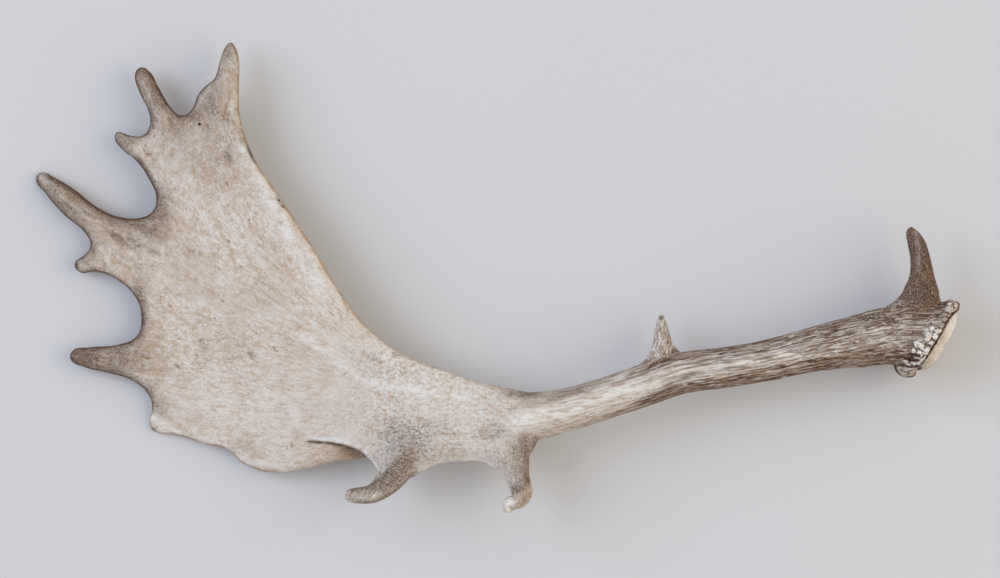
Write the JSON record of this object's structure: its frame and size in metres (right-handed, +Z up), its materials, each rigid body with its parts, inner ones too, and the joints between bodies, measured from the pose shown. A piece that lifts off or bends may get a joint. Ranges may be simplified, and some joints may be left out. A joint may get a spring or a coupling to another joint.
{
  "type": "fallow deer antler",
  "caption": "Shed palmate deer antler lying on its side: a round beam with a knobbly coronet, a brow tine and a trez spike, widening into a flat toothed palm.",
  "frame": {"origin": "on the floor, under the middle of the antler's box as it lies with the hollow side of the palm down", "axes": "+X from the long tine towards the coronet, +Y from the hooked tines towards the top tine, +Z up, out of the palm's rounded side"},
  "size_m": [0.645, 0.3269, 0.063],
  "materials": {
    "palm_bone": "dry, satin to matte weathered antler bone, cream with fine tan speckles and darker tine tips",
    "beam_bone": "satin furrowed antler bone with brown grooves, pale worn ridges and a cream porous seal under the coronet"
  },
  "bodies": {
    "root": {"beam": "beam_bone", "brow_tine": "beam_bone", "trez_tine": "beam_bone", "palm": "palm_bone", "curled_tine": "palm_bone", "hooked_tine": "palm_bone", "top_tine": "palm_bone", "second_tine": "palm_bone", "long_tine": "palm_bone", "rear_tine": "palm_bone"}
  },
  "joints": []
}
